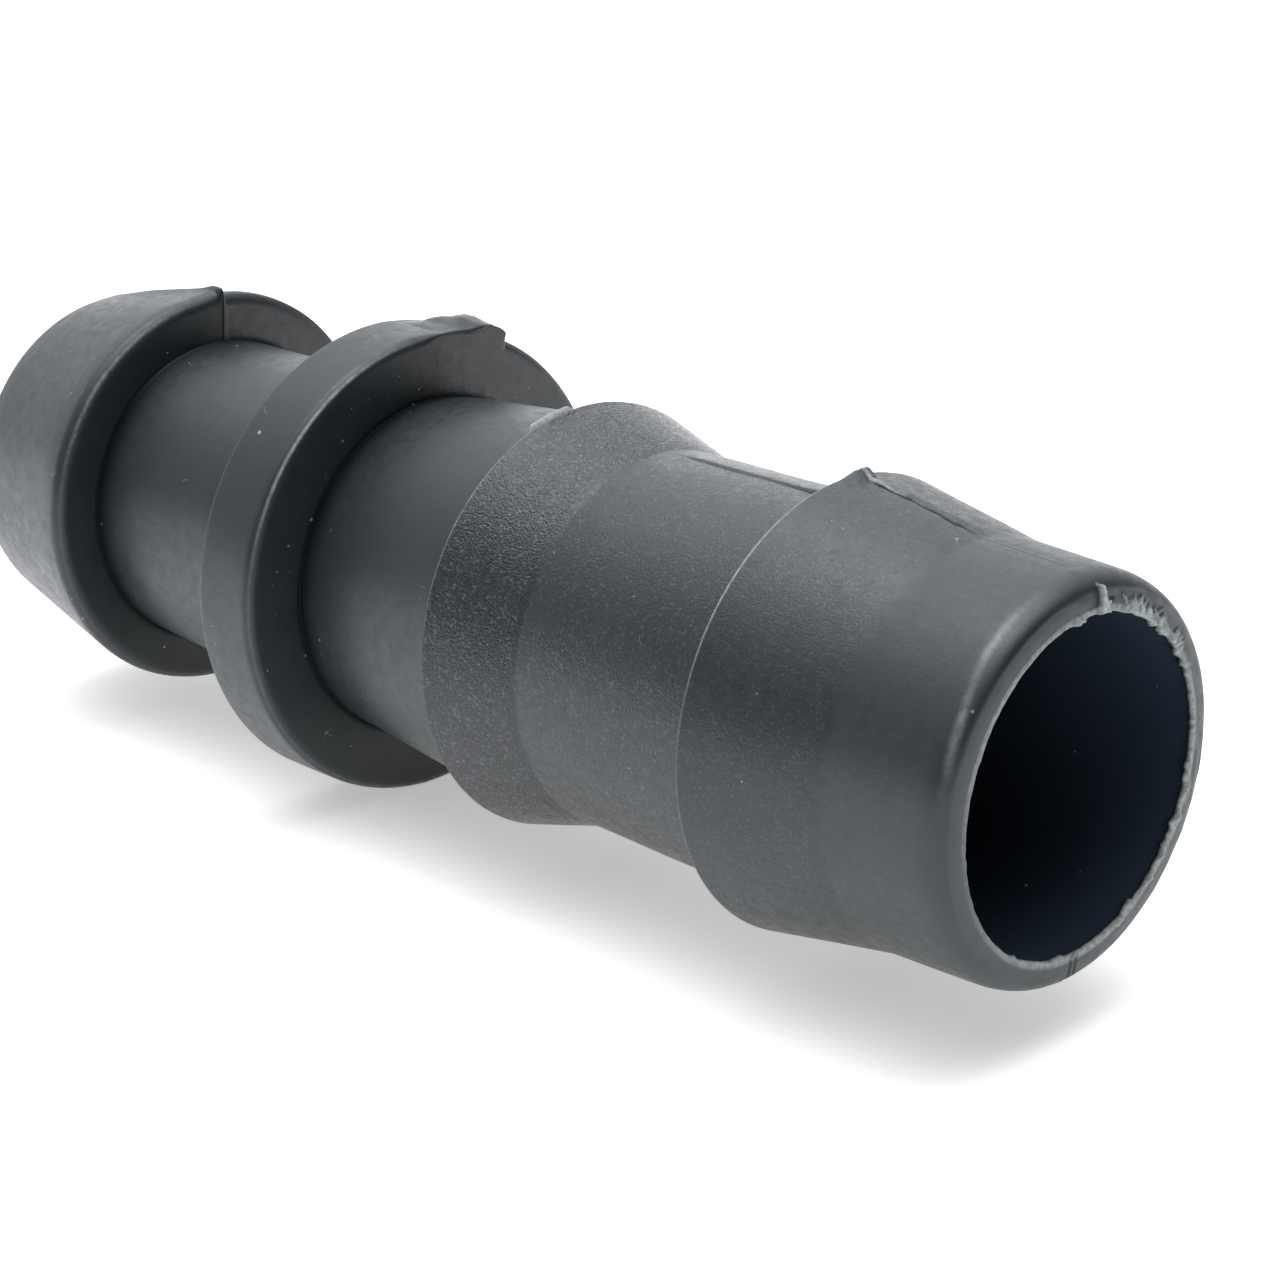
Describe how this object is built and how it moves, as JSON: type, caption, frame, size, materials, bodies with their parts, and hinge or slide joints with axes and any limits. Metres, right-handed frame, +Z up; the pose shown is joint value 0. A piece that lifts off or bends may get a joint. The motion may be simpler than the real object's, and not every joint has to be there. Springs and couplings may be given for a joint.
{
  "type": "barbed pipe connector",
  "caption": "Straight barbed pipe connector with a push-in spigot, stop collar, barbed pipe tail and clear through bore, for joining irrigation pipe to a wall grommet.",
  "frame": {"origin": "on the bore axis, halfway between the spigot end face and the pipe mouth face", "axes": "+X along the bore towards the mouth of the pipe tail, +Z up, with the moulding gate's mark on the collar about 17 degrees back from the top, towards +Y"},
  "size_m": [0.0486, 0.0168, 0.017],
  "materials": {
    "black_polypropylene": "fine satin moulded surface, with a coarser grained band on the middle barb"
  },
  "bodies": {
    "root": {"barbed_connector_body": "black_polypropylene"}
  },
  "joints": []
}
